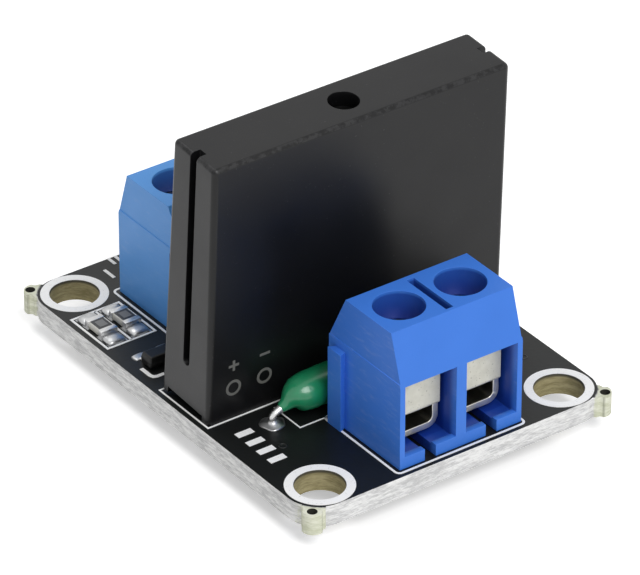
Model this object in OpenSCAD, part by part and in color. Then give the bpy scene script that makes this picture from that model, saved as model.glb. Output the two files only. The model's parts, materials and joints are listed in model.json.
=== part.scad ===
// Single-channel solid-state relay module: a slim relay standing across a small
// circuit board, a two-way screw terminal and a fuse in front of it, a three-way
// screw terminal and the small control parts behind it.
// X runs along the front edge, -Y is the output side, Z is up. The origin is the
// centre of the four mounting holes on the board's underside.

/* [Board] */
// Thickness of the circuit board
board_t = 1.6; // [1:0.1:2.4]
// Diameter of the mounting holes
mount_hole_d = 3.5; // [2.4:0.1:3.6]
// Distance from a mounting hole to the board's left or right edge
hole_inset_x = 2.6; // [2.5:0.1:3.2]
// Distance from a mounting hole to the board's front or back edge
hole_inset_y = 2.45; // [2.4:0.05:3.2]
// Radius of the board's corners
corner_r = 2.4; // [1:0.1:2.4]
// Width of the broken tab left on each corner
tab_w = 1.6; // [1.4:0.1:2.4]
// Reach of the broken tab beyond the mounting hole's centre
tab_reach = 3.6; // [3.4:0.1:4.6]
// Diameter of the break-off drill hole in each tab
tab_hole_d = 0.7; // [0.4:0.1:0.8]
// Laminate left between that hole and the end of the tab
tab_tip = 0.1; // [0.1:0.1:0.4]
// Distance between neighbouring break-off holes
tab_hole_pitch = 1; // [0.9:0.1:1.4]

/* [Relay] */
// Width of the relay case at its foot
relay_w = 24.6; // [22:0.2:30]
// Thickness of the relay case at its foot
relay_t = 5.5; // [4.8:0.1:8]
// Height of the relay case
relay_h = 20.4; // [14:0.2:26]
// Lean of the relay towards the output side, in degrees
relay_lean = 3.5; // [0:0.5:4]
// Draft of each end face, foot to top
relay_draft_x = 0.15; // [0:0.05:0.4]
// Draft of each broad face, foot to top
relay_draft_y = 0.35; // [0:0.05:0.5]
// Radius on the case's upright and top edges
relay_edge_r = 0.4; // [0.2:0.1:0.6]
// Thickness of the broad walls of the case
relay_wall = 0.8; // [0.6:0.1:1.2]
// Thickness of the end walls of the case
relay_end_wall = 1.5; // [1.3:0.1:1.8]
// Thickness of the top wall of the case
relay_roof = 1.2; // [0.8:0.1:2]
// Width of the groove in each end wall
relay_groove_w = 0.7; // [0.4:0.1:1]
// Depth of the groove in each end wall
relay_groove_depth = 0.8; // [0.4:0.1:0.9]
// Height above the foot at which the end groove begins
relay_groove_z = 3.5; // [2:0.5:8]
// Height of the gap under the end walls, between the feet
relay_foot_gap = 0.5; // [0.2:0.1:0.8]
// Length of each corner foot
relay_foot = 0.75; // [0.6:0.05:1]
// Diameter of the filling hole in the top of the case
relay_vent_d = 2.2; // [1:0.1:2.6]
// Depth of the filling hole in the resin
relay_vent_depth = 1.4; // [0.6:0.1:3]
// Width of a relay pin
relay_pin_w = 0.8; // [0.6:0.05:0.9]
// Thickness of a relay pin
relay_pin_t = 0.5; // [0.3:0.05:0.6]
// Length of a relay pin inside the resin
relay_pin_embed = 4; // [2:0.5:8]
// Resin between an end wall and the outer pin beside it
relay_pin_gap = 0.14; // [0.1:0.02:0.5]
// Distance between the two control pins, at the left end
relay_control_pitch = 2.54; // [2:0.02:5.08]
// Distance between the two load pins, at the right end
relay_load_pitch = 7.62; // [5.08:0.02:10.16]
// Offset of the relay from the board's middle
relay_x = 0.2; // [-0.2:0.1:0.2]
// Bare board past each end of the relay
relay_end_gap = 0.3; // [0.3:0.1:4]

/* [Screw terminals] */
// Distance between neighbouring ways
pitch = 5.08; // [5:0.02:5.6]
// Number of ways in the output terminal
output_ways = 2; // [2:1:3]
// Number of ways in the input terminal
input_ways = 3; // [2:1:3]
// Depth of a terminal, back to wire face
term_depth = 8.05; // [8:0.05:10]
// Height of the output terminal above the board
term_h = 10.2; // [10:0.1:13]
// Height at which the back face begins to slope
back_slope_z = 6.65; // [6:0.05:8]
// How far the top edge draws in from the back face
back_slope_in = 1.8; // [1:0.1:2]
// Height of the input terminal above the board
input_h = 9.9; // [9.7:0.1:13]
// How far the input terminal's top edge draws in from its back face
input_slope_in = 2; // [1:0.1:2.1]
// How far the top edge draws in from the wire face
front_slope_in = 1.15; // [0.4:0.05:1.2]
// Offset of both terminals from the board's middle
term_x = 0.35; // [-0.4:0.05:0.5]
// Thickness of the wall between two ways
way_wall = 0.85; // [0.7:0.05:1]
// Thickness of the back wall
term_back_wall = 1.5; // [1.1:0.1:1.6]
// Thickness of the floor beside the centre slot
term_floor = 0.75; // [0.5:0.05:0.8]
// Height of the ridge along the front of the floor
floor_ridge = 0.15; // [0.1:0.05:0.3]
// Width of the ridge along the front of the floor
floor_ridge_w = 0.5; // [0.3:0.1:0.8]
// Height of the wire opening's upper edge
opening_z = 6.45; // [5.6:0.05:6.5]
// Depth of the step where the upper side walls draw in
side_step = 0.06; // [0.05:0.01:0.2]
// Width of the shallow slot in the top between two ways
top_slot_w = 0.6; // [0.3:0.1:0.7]
// Length of the slot in the top
top_slot_l = 4.4; // [3:0.1:4.4]
// Depth of the slot in the top
top_slot_depth = 2; // [0.5:0.1:2]
// Thickness of the joining tongue on the side wall
tongue_t = 0.5; // [0.3:0.05:0.55]
// Width of the joining tongue at its outer face
tongue_w = 1.5; // [1:0.1:1.6]
// Distance from the back face to the joining tongue
tongue_in = 0.55; // [0.2:0.05:0.7]
// Height of the joining tongue
tongue_h = 6.1; // [4:0.1:6.4]

/* [Clamps and screws] */
// Diameter of the clamp screw's thread
screw_d = 2.5; // [2:0.1:2.6]
// Lead of the clamp screw's thread
screw_lead = 0.45; // [0.4:0.05:0.5]
// Turns left before the opened clamp meets the floor
open_turns = 0.4; // [0.3:0.1:1.2]
// Diameter of the screw head
screw_head_d = 3.8; // [3.7:0.05:3.9]
// Diameter of the screwdriver's hole in the top, which keeps the head in
access_d = 3.6; // [3:0.1:3.6]
// Height of the screw head
screw_head_h = 1.1; // [0.8:0.1:1.6]
// Width of the screwdriver slot
driver_slot_w = 0.6; // [0.4:0.1:0.8]
// Depth of the screwdriver slot
driver_slot_depth = 0.6; // [0.3:0.1:0.7]
// Width of the rising clamp
clamp_w = 3.7; // [3.5:0.1:3.8]
// Depth of the rising clamp, front to back
clamp_depth = 4; // [3.6:0.1:4.1]
// Thickness of the clamp's strip
clamp_strip = 0.5; // [0.3:0.05:0.5]
// Height of the space inside the clamp
clamp_inside = 2.6; // [2.5:0.05:2.7]
// Thickness of the clamp's threaded top plate
clamp_plate = 1; // [0.8:0.1:1.1]
// Outer radius of the clamp's lower corners
clamp_corner_r = 0.9; // [0.6:0.1:1.2]
// Room behind the clamp, in front of the contact's upright
clamp_back_gap = 0.3; // [0.1:0.1:0.5]

/* [Contacts and pins] */
// Thickness of the contact's sheet
contact_t = 0.5; // [0.4:0.05:0.6]
// Width of the contact's bar inside the clamp
contact_bar_w = 2.2; // [1.8:0.1:2.4]
// Underside of the contact's bar above the board
contact_z = 3.05; // [3:0.05:3.4]
// Width of the contact's upturned front flap
contact_flap_w = 3.45; // [3:0.05:3.8]
// Thickness of the contact's flap, rolled thinner than the bar
contact_flap_t = 0.25; // [0.2:0.05:0.4]
// Width of the contact's pin
contact_pin_w = 0.75; // [0.5:0.05:0.8]
// Width of the slot in the floor that the pin goes down through
floor_slot_w = 0.9; // [0.85:0.05:1.2]
// How far every pin and lead stands out under the board
pin_below = 1.4; // [1:0.1:2.5]
// Diameter of the plated holes for the pins
pin_hole_d = 1.3; // [1.2:0.05:1.5]
// Diameter of the solder joint against the board
solder_d = 2.1; // [1.8:0.1:2.4]
// Diameter of the solder round a fuse lead on top of the board
lead_solder_d = 1.8; // [1.5:0.1:2.1]
// Height of the solder joint
solder_h = 0.9; // [0.5:0.1:0.9]
// Share of an end cap's height that the solder climbs
solder_rise = 0.75; // [0.5:0.05:0.9]

/* [Fuse] */
// Diameter of the fuse body
fuse_d = 2.8; // [2.4:0.1:4]
// Length of the fuse body
fuse_l = 7.2; // [5.2:0.1:8]
// Length of the fuse body's rounded ends
fuse_end_l = 1.6; // [1.2:0.1:2.4]
// Diameter of the fuse leads
fuse_lead_d = 0.6; // [0.4:0.05:0.8]
// Distance between the fuse's two board holes
fuse_span = 8.6; // [8.4:0.1:10]
// Place of the fuse's middle along the board
fuse_x = -4; // [-5:0.1:0]
// Gap between the fuse body and the board
fuse_lift = 0.2; // [0.1:0.1:0.5]
// Slope of the fuse leads where they leave the body, in degrees from upright
fuse_lead_slope = 68; // [60:1:75]
// Bare lead between its bend and the coating
fuse_bare_lead = 0.35; // [0.2:0.05:0.6]

/* [Small parts] */
// Length of a chip part
chip_l = 2; // [1.6:0.1:2.4]
// Width of a chip part
chip_w = 1.25; // [0.8:0.05:1.4]
// Height of a chip part
chip_h = 0.5; // [0.4:0.05:0.7]
// Length of a chip part's end cap
chip_cap = 0.4; // [0.2:0.05:0.5]
// Thickness of a chip part's end cap
chip_cap_t = 0.04; // [0.02:0.01:0.08]
// Distance between the two chip resistors
chip_pitch = 1.97; // [1.9:0.01:2.4]
// Length of a chip part's solder fillet
fillet_l = 0.7; // [0.4:0.1:0.9]
// Length of the transistor's body
transistor_l = 2.9; // [2.6:0.1:3.2]
// Width of the transistor's body
transistor_w = 1.3; // [1.2:0.1:1.6]
// Height of the transistor's body
transistor_h = 0.95; // [0.8:0.05:1.2]
// Distance between the transistor's two paired leads
transistor_pitch = 1.9; // [1.6:0.1:2]
// Width of a transistor lead
transistor_lead_w = 0.42; // [0.3:0.02:0.5]
// Thickness of the status light's base
led_base_h = 0.25; // [0.2:0.05:0.4]
// Height of the status light's clear body
led_h = 0.75; // [0.6:0.05:1]

/* [Spacing on the board] */
// Output terminal's wire face to the board's front edge
output_edge_gap = 0.7; // [0.3:0.1:3]
// Output terminal's back to the fuse
fuse_terminal_gap = 0.1; // [0.1:0.1:2]
// Fuse to the relay's front
relay_fuse_gap = 0.75; // [0.6:0.05:3]
// Relay's back to the input terminal
input_relay_gap = 4.1; // [4:0.1:8]
// Input terminal's wire face to the board's back edge
input_edge_gap = 4.05; // [3.4:0.05:6]
// Input terminal's side to the nearest chip part
chip_side_gap = 1.25; // [1:0.05:2]
// Input terminal's back to the middle of the chip parts
chip_row = 4.65; // [4:0.05:5.5]
// Outer chip part to the board's edge
chip_edge_gap = 0.8; // [0.4:0.1:2]
// Relay's back to the transistor's front lead
transistor_gap = 1.8; // [1:0.1:2]
// Input terminal's side to the transistor, measured along the board
transistor_side_gap = 1.2; // [0.6:0.1:1.4]

/* [Hidden] */
$fn = 48;
// running clearance between a thread and its bore, and between sliding metal pieces
thread_gap = 0.04;
slide_gap = 0.1;
// room left at each end of the clamp's travel, and above the raised clamp
travel_gap = 0.05;
roof_gap = 0.2;
// how far one shape runs past another where they join or cut
lap = 0.5;

// board outline, worked out from what stands on it
output_depth = output_edge_gap + term_depth;
fuse_row = fuse_terminal_gap + fuse_d + relay_fuse_gap;
input_depth = input_relay_gap + term_depth + input_edge_gap;
board_d = output_depth + fuse_row + relay_t + input_depth;
output_rear_y = -board_d / 2 + output_depth;
fuse_y = output_rear_y + fuse_terminal_gap + fuse_d / 2;
relay_front_y = output_rear_y + fuse_row;
relay_rear_y = relay_front_y + relay_t;
input_rear_y = relay_rear_y + input_relay_gap;
input_left_x = term_x - input_ways * pitch / 2;
input_right_x = term_x + input_ways * pitch / 2;
chip_x = input_left_x - chip_side_gap - chip_w / 2;
chip_outer_x = chip_x - chip_pitch - chip_w / 2;
board_w = 2 * max(relay_w / 2 + relay_end_gap, chip_edge_gap - chip_outer_x);
hole_x = board_w / 2 - hole_inset_x;
hole_y = board_d / 2 - hole_inset_y;
tab_hole_r = tab_reach - tab_hole_d / 2 - tab_tip;
chip_y = input_rear_y + chip_row;

// relay pins: two control pins close together on the left, two load pins
relay_pin_reach = relay_w / 2 - relay_end_wall - relay_pin_gap - relay_pin_w / 2;
relay_pin_xs = [-relay_pin_reach, relay_control_pitch - relay_pin_reach,
    relay_pin_reach - relay_load_pitch, relay_pin_reach];
relay_lift = relay_t / 2 * sin(relay_lean);
relay_pin_len = (board_t + pin_below + relay_lift) / cos(relay_lean);
relay_pin_y = relay_front_y + relay_t / 2 * cos(relay_lean) + tan(relay_lean) * (board_t / 2 + relay_lift);

// screw terminal, measured from its back face and from the board
way_w = pitch - way_wall;
clamp_h = clamp_strip + clamp_inside + clamp_plate;
clamp_z = term_floor + floor_ridge + travel_gap + open_turns * screw_lead;
clamp_rise = contact_z - clamp_z - clamp_strip - travel_gap;
contact_back = term_back_wall + slide_gap;
clamp_back = contact_back + contact_t + clamp_back_gap;
screw_u = clamp_back + clamp_depth / 2;
flap_back = clamp_back + clamp_depth + slide_gap;
flap_front = flap_back + contact_flap_t;
ceiling_z = clamp_z + clamp_rise + clamp_h + roof_gap;
front_wall_u = flap_front + slide_gap;
flap_top = ceiling_z - slide_gap * 2;
screw_tip_z = contact_z + contact_t + travel_gap / 2;
head_z = ceiling_z + travel_gap;
head_room = screw_head_h + 2 * travel_gap;
side_step_z = back_slope_z + side_step;
// end of the solder joint under the board, wide enough for the thickest pin
solder_skin = 0.12;
solder_tip_d = norm([relay_pin_w, relay_pin_t]) + 2 * solder_skin;

// fuse
fuse_axis_z = board_t + fuse_lift + fuse_d / 2;
fuse_bend_r = fuse_lead_d;
fuse_bend_x = fuse_span / 2 - fuse_bend_r;
fuse_bend_z = board_t + fuse_lead_d / 2;
fuse_bend_top = [fuse_bend_x + fuse_bend_r * cos(fuse_lead_slope), 0,
    fuse_bend_z + fuse_bend_r * sin(fuse_lead_slope)];
fuse_lead_run = (fuse_bend_top[0] - fuse_l / 2 + fuse_d * 0.45) / sin(fuse_lead_slope);
fuse_coat_t = 0.12;
fuse_neck_d = fuse_lead_d + 2 * fuse_coat_t;
fuse_shoulder_d = fuse_d / 2;

// transistor: its leads leave the body at mid height and reach out to their pads
transistor_x = input_left_x - transistor_side_gap - transistor_l / 2;
transistor_reach = 0.55;
transistor_knee = 0.22;
transistor_lead_t = 0.12;
transistor_foot_gap = 0.08;
transistor_draw = 0.12;
transistor_mid_z = transistor_foot_gap + transistor_h / 2;
transistor_y = relay_rear_y + transistor_gap + transistor_reach + transistor_w / 2;
led_x = input_right_x + chip_side_gap + chip_w / 2;

// ---- placing ----

// place of way i in a terminal of n ways, counted from the terminal's own left
function way_x(n, i) = (i - (n + 1) / 2) * pitch;

module at_output() {
    translate([term_x, output_rear_y, board_t]) rotate([0, 0, 180]) children();
}

module at_input() {
    translate([term_x, input_rear_y, board_t]) children();
}

// stands on the front edge of its foot and leans over it
module at_relay() {
    translate([relay_x, relay_front_y, board_t])
        rotate([relay_lean, 0, 0])
            translate([0, relay_t / 2, 0]) children();
}

// draws a side profile (depth, height) and extrudes it w wide along X, centred
module side_profile(w) {
    translate([-w / 2, 0, 0]) rotate([90, 0, 90]) linear_extrude(w) children();
}

// extrudes a front profile (width, height) d deep along +Y
module front_profile(d) {
    translate([0, d, 0]) rotate([90, 0, 0]) linear_extrude(d) children();
}

// ---- board ----

module board_outline() {
    translate([corner_r - board_w / 2, -board_d / 2])
        square([board_w - 2 * corner_r, board_d]);
    translate([-board_w / 2, corner_r - board_d / 2])
        square([board_w, board_d - 2 * corner_r]);
    for (sx = [-1, 1], sy = [-1, 1]) {
        translate([sx * (board_w / 2 - corner_r), sy * (board_d / 2 - corner_r)]) circle(corner_r);
        translate([sx * hole_x, sy * hole_y]) rotate(atan2(sy, sx)) corner_tab();
    }
}

// the round-ended stub left where the board was snapped out of its panel
module corner_tab() {
    translate([0, -tab_w / 2]) square([tab_reach - tab_w / 2, tab_w]);
    translate([tab_reach - tab_w / 2, 0]) circle(d = tab_w);
}

// the break-off holes across a tab, the outer two broken open
module tab_holes() {
    step = 2 * asin(tab_hole_pitch / 2 / tab_hole_r);
    for (k = [-1:1]) rotate(k * step) translate([tab_hole_r, 0]) circle(d = tab_hole_d);
}

module board_holes() {
    for (sx = [-1, 1], sy = [-1, 1]) translate([sx * hole_x, sy * hole_y]) {
        circle(d = mount_hole_d);
        rotate(atan2(sy, sx)) tab_holes();
    }
    for (p = pin_places()) translate(p) circle(d = pin_hole_d);
}

// every plated hole that a pin or lead goes down through
function pin_places() = concat(
    [for (x = relay_pin_xs) [relay_x + x, relay_pin_y]],
    [for (i = [1:output_ways]) [term_x - way_x(output_ways, i), output_rear_y - contact_pin_u()]],
    [for (i = [1:input_ways]) [term_x + way_x(input_ways, i), input_rear_y + contact_pin_u()]],
    [for (s = [-1, 1]) [fuse_x + s * fuse_span / 2, fuse_y]]
);

function contact_pin_u() = contact_back + contact_t / 2;

module circuit_board() {
    color([0.1, 0.1, 0.11])
        linear_extrude(board_t) difference() {
            board_outline();
            board_holes();
        }
}

// ---- relay ----

// moulded block with rounded upright and top edges, narrower at the top
module relay_block() {
    r = relay_edge_r;
    hull() for (sx = [-1, 1], sy = [-1, 1]) {
        translate([sx * (relay_w / 2 - r), sy * (relay_t / 2 - r), 0])
            cylinder(r = r, h = relay_foot_gap, $fn = 20);
        translate([sx * (relay_w / 2 - relay_draft_x - r), sy * (relay_t / 2 - relay_draft_y - r),
            relay_h - r]) sphere(r, $fn = 20);
    }
}

// the room inside the case, from z0 up to the roof, drawn in as the outside is
module relay_room(z0) {
    top = relay_h - relay_roof;
    half_w = relay_w / 2 - relay_end_wall;
    half_t = relay_t / 2 - relay_wall;
    slope_x = relay_draft_x / relay_h;
    slope_y = relay_draft_y / relay_h;
    intersection() {
        translate([0, -half_t, 0]) front_profile(2 * half_t) polygon([
            [-half_w + slope_x * z0, z0], [half_w - slope_x * z0, z0],
            [half_w - slope_x * top, top], [-half_w + slope_x * top, top]]);
        side_profile(2 * half_w) polygon([
            [-half_t + slope_y * z0, z0], [half_t - slope_y * z0, z0],
            [half_t - slope_y * top, top], [-half_t + slope_y * top, top]]);
    }
}

module relay_groove() {
    groove_r = relay_groove_w / 2;
    floor_x = relay_w / 2 - relay_draft_x - relay_groove_depth;
    translate([floor_x, -groove_r, relay_groove_z + groove_r])
        cube([relay_end_wall, relay_groove_w, relay_h]);
    translate([floor_x, 0, relay_groove_z + groove_r])
        rotate([0, 90, 0]) cylinder(r = groove_r, h = relay_end_wall);
}

module relay_case() {
    foot_span = relay_t - 2 * relay_foot;
    color([0.2, 0.2, 0.22]) at_relay() difference() {
        relay_block();
        relay_room(-lap);
        relay_groove();
        mirror([1, 0, 0]) relay_groove();
        translate([-relay_w, -foot_span / 2, -lap]) cube([2 * relay_w, foot_span, lap + relay_foot_gap]);
        translate([0, 0, relay_h - relay_roof - lap]) cylinder(d = relay_vent_d, h = relay_roof + 2 * lap);
    }
}

module relay_resin() {
    resin_top = relay_h - relay_roof;
    color([0.13, 0.13, 0.15]) at_relay() difference() {
        relay_room(relay_foot_gap);
        translate([0, 0, resin_top - relay_vent_depth])
            cylinder(d = relay_vent_d, h = relay_vent_depth + lap);
        for (x = relay_pin_xs) translate([x, 0, 0]) relay_pin_bar();
    }
}

module relay_pin_bar() {
    translate([-relay_pin_w / 2, -relay_pin_t / 2, -relay_pin_len])
        cube([relay_pin_w, relay_pin_t, relay_pin_len + relay_pin_embed]);
}

module relay_pin(i) {
    color([0.75, 0.75, 0.77]) at_relay() translate([relay_pin_xs[i - 1], 0, 0]) relay_pin_bar();
}

// ---- screw terminals ----

// outside of a terminal h high in depth and height, between heights z0 and z1
module terminal_side(z0, z1, h, slope_in) {
    front_in = front_slope_in * (h - opening_z) / (term_h - opening_z);
    intersection() {
        polygon([
            [0, 0], [0, back_slope_z], [slope_in, h],
            [term_depth - front_in, h], [term_depth, opening_z], [term_depth, 0]]);
        translate([0, z0]) square([term_depth, z1 - z0]);
    }
}

// one way's room for clamp and wire, open at the front, with a narrow pocket for the contact
module way_room() {
    ridge_z = term_floor + floor_ridge;
    room_back = clamp_back - slide_gap;
    side_profile(way_w) polygon([
        [room_back, term_floor], [room_back, ceiling_z], [front_wall_u, ceiling_z],
        [front_wall_u, opening_z], [term_depth + lap, opening_z], [term_depth + lap, ridge_z],
        [term_depth - floor_ridge_w, ridge_z], [term_depth - floor_ridge_w - floor_ridge, term_floor]]);
    side_profile(contact_bar_w + 2 * slide_gap) translate([term_back_wall, term_floor])
        square([room_back + lap - term_back_wall, contact_z + contact_t + slide_gap - term_floor]);
    translate([-floor_slot_w / 2, term_back_wall, -lap])
        cube([floor_slot_w, term_depth, term_floor + 2 * lap]);
    translate([0, screw_u, ceiling_z - lap]) {
        cylinder(d = screw_head_d + 2 * slide_gap, h = lap + head_room);
        cylinder(d = access_d, h = term_h);
    }
}

// dovetail rib, widest at its outer face, that joins one terminal to the next
module tongue(t, w, h) {
    linear_extrude(h) polygon([[0, t / 2], [t, 0], [t, w], [0, w - t / 2]]);
}

module terminal_housing(n, h, slope_in) {
    w = n * pitch;
    difference() {
        union() {
            side_profile(w) terminal_side(0, side_step_z, h, slope_in);
            side_profile(w - 2 * side_step) terminal_side(side_step_z - lap, h, h, slope_in);
            translate([w / 2, tongue_in, 0]) tongue(tongue_t, tongue_w, tongue_h);
        }
        translate([-w / 2, tongue_in - slide_gap, -slide_gap])
            tongue(tongue_t + slide_gap, tongue_w + 2 * slide_gap, tongue_h + 2 * slide_gap);
        for (i = [1:n]) translate([way_x(n, i), 0, 0]) way_room();
        for (i = [1:n - 1])
            translate([way_x(n, i + 0.5) - top_slot_w / 2, screw_u - top_slot_l / 2, h - top_slot_depth])
                cube([top_slot_w, top_slot_l, h]);
    }
}

module output_terminal_housing() {
    color([0.2, 0.45, 0.85]) at_output() terminal_housing(output_ways, term_h, back_slope_in);
}

module input_terminal_housing() {
    color([0.2, 0.45, 0.85]) at_input() terminal_housing(input_ways, input_h, input_slope_in);
}

// rectangle with its two lower corners rounded
module cup_outline(w, h, r) {
    translate([-w / 2, r]) square([w, h - r]);
    translate([r - w / 2, 0]) square([w - 2 * r, h]);
    for (s = [-1, 1]) translate([s * (w / 2 - r), r]) circle(r);
}

// the rising clamp: a strip bent into a loop, with a thick threaded top
module clamp() {
    difference() {
        translate([0, clamp_back, clamp_z]) front_profile(clamp_depth) difference() {
            cup_outline(clamp_w, clamp_h, clamp_corner_r);
            translate([0, clamp_strip])
                cup_outline(clamp_w - 2 * clamp_strip, clamp_inside, clamp_corner_r - clamp_strip);
        }
        translate([0, screw_u, clamp_z + clamp_strip + clamp_inside - lap])
            cylinder(d = screw_d + 2 * thread_gap, h = clamp_plate + 2 * lap);
    }
}

// the clamp screw: slotted cheese head, threaded shank and a tapered tip
module clamp_screw() {
    tip_h = screw_d / 8;
    translate([0, screw_u, 0]) difference() {
        union() {
            translate([0, 0, screw_tip_z]) cylinder(d1 = screw_d - 2 * tip_h, d2 = screw_d, h = tip_h);
            translate([0, 0, screw_tip_z + tip_h]) cylinder(d = screw_d, h = head_z - screw_tip_z);
            translate([0, 0, head_z]) cylinder(d = screw_head_d, h = screw_head_h);
        }
        translate([-screw_head_d, -driver_slot_w / 2, head_z + screw_head_h - driver_slot_depth])
            cube([2 * screw_head_d, driver_slot_w, screw_head_h]);
    }
}

// sheet contact: a pin down through the board, a bar under the screw, a front flap
module contact() {
    pin_len = board_t + pin_below;
    translate([-contact_pin_w / 2, contact_back, -pin_len])
        cube([contact_pin_w, contact_t, pin_len + contact_z]);
    side_profile(contact_bar_w) contact_bar();
    side_profile(contact_flap_w) contact_flap();
}

// the bar, with its rounded bend down into the pin
module contact_bar() {
    bar_back = contact_back + contact_t;
    translate([contact_back, contact_z - contact_t]) square(contact_t);
    intersection() {
        translate([bar_back, contact_z]) circle(contact_t);
        translate([contact_back, contact_z]) square(contact_t);
    }
    translate([bar_back, contact_z]) square([flap_back - bar_back, contact_t]);
}

// the flap, with the rounded bend that turns it up from the bar
module contact_flap() {
    bend_top = contact_z + contact_flap_t;
    intersection() {
        translate([flap_back, bend_top]) circle(contact_flap_t);
        translate([flap_back, contact_z]) square(contact_flap_t);
    }
    translate([flap_back, bend_top]) square([contact_flap_t, flap_top - bend_top]);
}

module output_clamp(i) {
    color([0.7, 0.7, 0.68]) at_output() translate([way_x(output_ways, i), 0, 0]) clamp();
}

module output_screw(i) {
    color([0.66, 0.66, 0.66]) at_output() translate([way_x(output_ways, i), 0, 0]) clamp_screw();
}

module output_contact(i) {
    color([0.85, 0.84, 0.8]) at_output() translate([way_x(output_ways, i), 0, 0]) contact();
}

module input_clamp(i) {
    color([0.7, 0.7, 0.68]) at_input() translate([way_x(input_ways, i), 0, 0]) clamp();
}

module input_screw(i) {
    color([0.66, 0.66, 0.66]) at_input() translate([way_x(input_ways, i), 0, 0]) clamp_screw();
}

module input_contact(i) {
    color([0.85, 0.84, 0.8]) at_input() translate([way_x(input_ways, i), 0, 0]) contact();
}

// ---- fuse ----

// half the dipped body's outline: a round shoulder, then straight to the middle
function fuse_outline(steps) = concat(
    [for (k = [0:steps]) [fuse_d / 2 * sin(90 * k / steps),
        fuse_end_l * (1 - cos(90 * k / steps)) - fuse_l / 2]],
    [[fuse_d / 2, 0], [0, 0]]
);

// places a piece at the top of the lead's bend, its +Z running up into the body
module at_fuse_bend() {
    translate(fuse_bend_top) rotate([0, -fuse_lead_slope, 0]) children();
}

// the lead comes sloping out of the body's end, bends and drops through the board
module fuse_lead_wire() {
    run_in = fuse_lead_d / 20;
    translate([fuse_span / 2, 0, -pin_below]) cylinder(d = fuse_lead_d, h = pin_below + fuse_bend_z + run_in);
    translate([fuse_bend_x, 0, fuse_bend_z]) rotate([90, 0, 0])
        rotate_extrude(angle = fuse_lead_slope) translate([fuse_bend_r, 0]) circle(d = fuse_lead_d - run_in);
    at_fuse_bend() translate([0, 0, -run_in]) cylinder(d = fuse_lead_d, h = fuse_lead_run + run_in);
}

// coating drawn down along the lead
module fuse_neck() {
    at_fuse_bend() translate([0, 0, fuse_bare_lead])
        cylinder(d1 = fuse_neck_d, d2 = fuse_shoulder_d, h = fuse_lead_run - fuse_bare_lead);
}

module fuse_body() {
    color([0.1, 0.5, 0.35]) translate([fuse_x, fuse_y, 0]) difference() {
        union() {
            translate([0, 0, fuse_axis_z]) for (s = [0, 180]) rotate([0, 90, s]) rotate_extrude()
                polygon(fuse_outline(12));
            for (s = [0, 1]) mirror([s, 0, 0]) fuse_neck();
        }
        for (s = [0, 1]) mirror([s, 0, 0]) fuse_lead_wire();
    }
}

module fuse_lead_left() {
    color([0.8, 0.8, 0.82]) translate([fuse_x, fuse_y, 0]) mirror([1, 0, 0]) fuse_lead_wire();
}

module fuse_lead_right() {
    color([0.8, 0.8, 0.82]) translate([fuse_x, fuse_y, 0]) fuse_lead_wire();
}

// ---- small parts ----

module chip_core(h) {
    translate([-chip_w / 2, -chip_l / 2, board_t + chip_cap_t]) cube([chip_w, chip_l, h]);
}

// a thin metal cap wrapped round each end of the core
module chip_caps(h) {
    difference() {
        for (s = [0, 1]) mirror([0, s, 0])
            translate([-chip_w / 2 - chip_cap_t, chip_l / 2 - chip_cap, board_t])
                cube([chip_w + 2 * chip_cap_t, chip_cap + chip_cap_t, h + 2 * chip_cap_t]);
        chip_core(h);
    }
}

// hollow wedge of solder running up to a chip's end cap, on both ends
module chip_fillets(h) {
    start = chip_l / 2 + chip_cap_t;
    rise = h * solder_rise;
    for (s = [0, 1]) mirror([0, s, 0])
        side_profile(chip_w) translate([start, board_t])
            polygon([[0, 0], [0, rise], [fillet_l / 3, rise / 2], [fillet_l, 0]]);
}

function chip_place(i) = [chip_x - (i - 1) * chip_pitch, chip_y, 0];
led_place = [led_x, chip_y, 0];

module chip_resistor(i) {
    color([0.12, 0.12, 0.13]) translate(chip_place(i)) chip_core(chip_h);
}

module chip_resistor_caps(i) {
    color([0.8, 0.8, 0.82]) translate(chip_place(i)) chip_caps(chip_h);
}

module status_light() {
    color([0.9, 0.85, 0.7]) translate(led_place) {
        chip_core(led_base_h);
        translate([-chip_w / 2, chip_cap - chip_l / 2, board_t + chip_cap_t + led_base_h])
            cube([chip_w, chip_l - 2 * chip_cap, led_h - led_base_h]);
    }
}

module status_light_caps() {
    color([0.8, 0.7, 0.4]) translate(led_place) chip_caps(led_base_h);
}

// face of the transistor's body, w wide: it draws in above and below the lead line
module transistor_face(w) {
    top = transistor_foot_gap + transistor_h;
    polygon([
        [transistor_draw - w / 2, transistor_foot_gap], [w / 2 - transistor_draw, transistor_foot_gap],
        [w / 2, transistor_mid_z], [w / 2 - transistor_draw, top],
        [transistor_draw - w / 2, top], [-w / 2, transistor_mid_z]]);
}

module transistor_body() {
    color([0.15, 0.15, 0.17]) translate([transistor_x, transistor_y, board_t]) intersection() {
        translate([0, -transistor_w / 2, 0]) front_profile(transistor_w) transistor_face(transistor_l);
        side_profile(transistor_l) transistor_face(transistor_w);
    }
}

// one gull-wing lead leaving the body towards +Y
module transistor_lead() {
    t = transistor_lead_t;
    side_profile(transistor_lead_w) translate([transistor_w / 2, 0]) polygon([
        [0, transistor_mid_z - t / 2], [transistor_knee - t, transistor_mid_z - t / 2],
        [transistor_knee, 0], [transistor_reach, 0], [transistor_reach, t],
        [transistor_knee + t, t], [transistor_knee, transistor_mid_z + t / 2],
        [0, transistor_mid_z + t / 2]]);
}

// two leads on the back side, one in the middle of the front side
module at_transistor_leads() {
    translate([transistor_x, transistor_y, board_t]) {
        for (s = [-1, 1]) translate([s * transistor_pitch / 2, 0, 0]) children();
        rotate(180) children();
    }
}

module transistor_leads() {
    color([0.8, 0.8, 0.82]) at_transistor_leads() transistor_lead();
}

// ---- solder ----

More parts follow.
